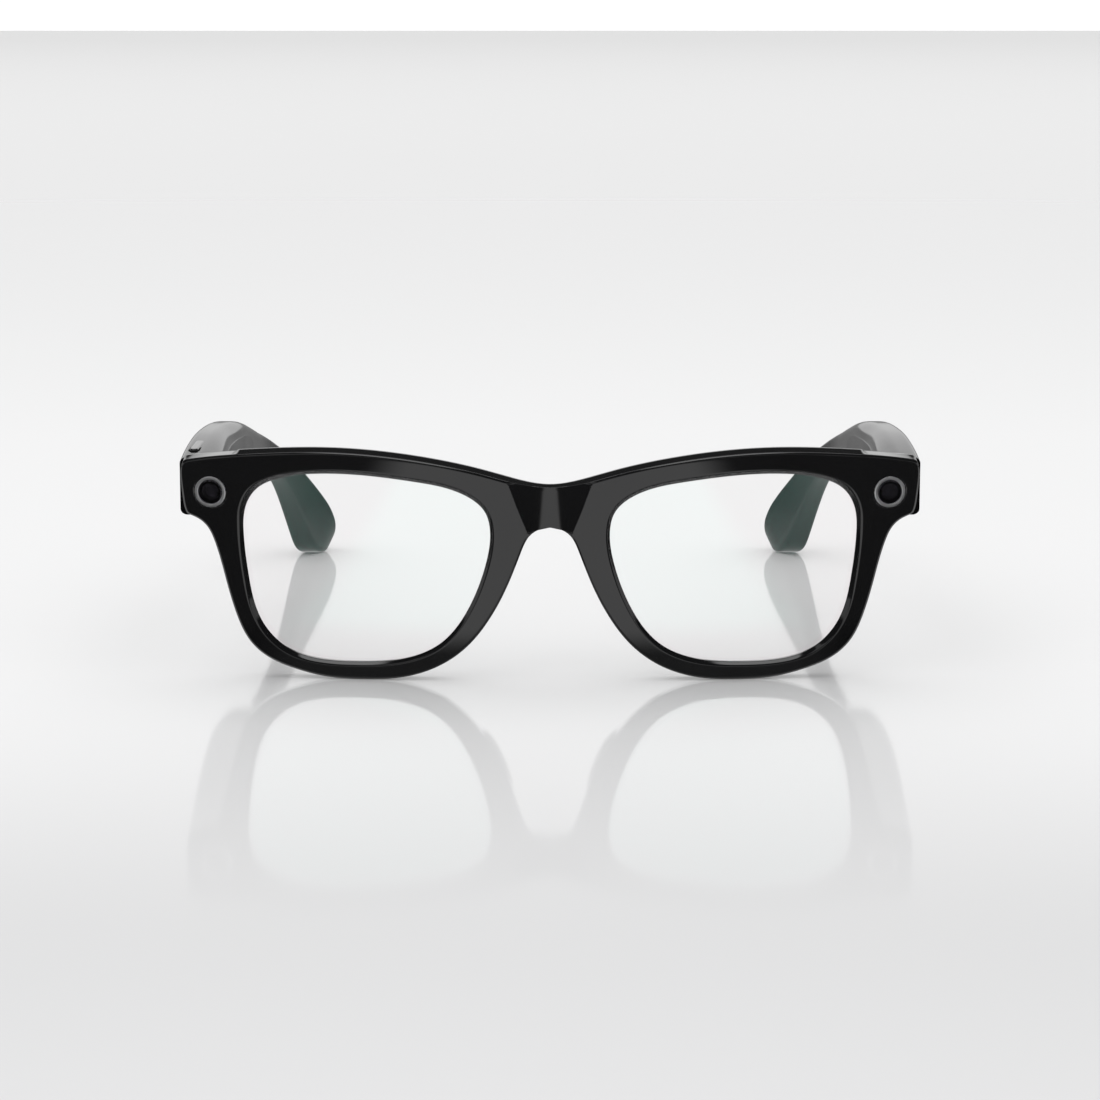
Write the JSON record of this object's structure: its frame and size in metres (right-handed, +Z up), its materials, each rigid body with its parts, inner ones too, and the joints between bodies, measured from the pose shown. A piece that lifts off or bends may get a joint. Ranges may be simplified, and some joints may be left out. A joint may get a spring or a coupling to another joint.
{
  "type": "smart glasses",
  "caption": "Thick-rimmed smart glasses with clear lenses, camera modules in both end pieces and hollow folding temples.",
  "frame": {"origin": "middle of the footprint, on the ground that the rims and temple tips rest on", "axes": "-Y is the way the glasses look, +Y runs back along the open temples, +X is the wearer's left, +Z is up"},
  "size_m": [0.1488, 0.1579, 0.0464],
  "materials": {
    "frame_plastic": "polished gloss black",
    "temple_plastic": "polished gloss black",
    "clear_lens": "clear with a faint blue-green reflection",
    "nose_pad_plastic": "polished black",
    "camera_ring_metal": "satin dark grey",
    "camera_window_glass": "smoked glass",
    "camera_body": "matt black",
    "camera_lens_glass": "coated, violet reflection",
    "circuit_board": "green solder mask",
    "chip": "moulded black",
    "flex_film": "amber film",
    "contact_gold": "gold plated",
    "hinge_steel": "fine brushed",
    "screw_steel": "turned",
    "button_plastic": "gloss black",
    "battery_foil": "foil pouch",
    "speaker_body": "matt black",
    "speaker_mesh": "black woven steel"
  },
  "bodies": {
    "front": {"bridge_microphone": "chip", "brow_rear_cover": "frame_plastic", "charging_contacts": "contact_gold", "front_flex_cable": "flex_film", "front_frame": "frame_plastic", "left_camera_barrel": "camera_body", "left_camera_board": "circuit_board", "left_camera_lens": "camera_lens_glass", "left_camera_ring": "camera_ring_metal", "left_camera_window": "camera_window_glass", "left_end_piece_cover": "frame_plastic", "left_front_hinge": "hinge_steel", "left_front_hinge_fixings": "screw_steel", "left_hinge_screw": "screw_steel", "left_lens": "clear_lens", "left_nose_pad": "nose_pad_plastic", "right_camera_barrel": "camera_body", "right_camera_board": "circuit_board", "right_camera_lens": "camera_lens_glass", "right_camera_ring": "camera_ring_metal", "right_camera_window": "camera_window_glass", "right_end_piece_cover": "frame_plastic", "right_front_hinge": "hinge_steel", "right_front_hinge_fixings": "screw_steel", "right_hinge_screw": "screw_steel", "right_lens": "clear_lens", "right_nose_pad": "nose_pad_plastic"},
    "left_temple": {"left_temple_shell": "temple_plastic", "left_temple_inner_cover": "temple_plastic", "left_temple_core_wire": "hinge_steel", "left_temple_hinge": "hinge_steel", "left_temple_hinge_fixings": "screw_steel", "left_speaker": "speaker_body", "left_speaker_mesh": "speaker_mesh", "left_temple_microphone": "chip", "battery": "battery_foil", "battery_board": "circuit_board", "power_switch_base": "chip"},
    "right_temple": {"right_temple_shell": "temple_plastic", "right_temple_inner_cover": "temple_plastic", "right_temple_core_wire": "hinge_steel", "right_temple_hinge": "hinge_steel", "right_temple_hinge_fixings": "screw_steel", "right_speaker": "speaker_body", "right_speaker_mesh": "speaker_mesh", "right_temple_microphone": "chip", "main_board": "circuit_board", "processor_and_memory": "chip", "touch_sensor": "flex_film", "button_switch": "chip"},
    "capture_button": {"capture_button": "button_plastic"},
    "power_switch": {"power_switch": "button_plastic"}
  },
  "joints": [
    {"name": "left_temple_fold", "type": "hinge", "parent": "front", "child": "left_temple", "pos_m": [0.0652, -0.0613, 0.037], "axis": [0, 0, 1], "range_deg": [0, 88]},
    {"name": "right_temple_fold", "type": "hinge", "parent": "front", "child": "right_temple", "pos_m": [-0.0652, -0.0613, 0.037], "axis": [0, 0, -1], "range_deg": [0, 66]},
    {"name": "capture_button_press", "type": "slide", "parent": "right_temple", "child": "capture_button", "axis": [0, 0, -1], "range_m": [0, 0.00035], "stiffness_N_per_m": 2000, "springref_m": -0.0005},
    {"name": "power_switch_slide", "type": "slide", "parent": "left_temple", "child": "power_switch", "axis": [0, 1, 0], "range_m": [0, 0.0018]}
  ]
}
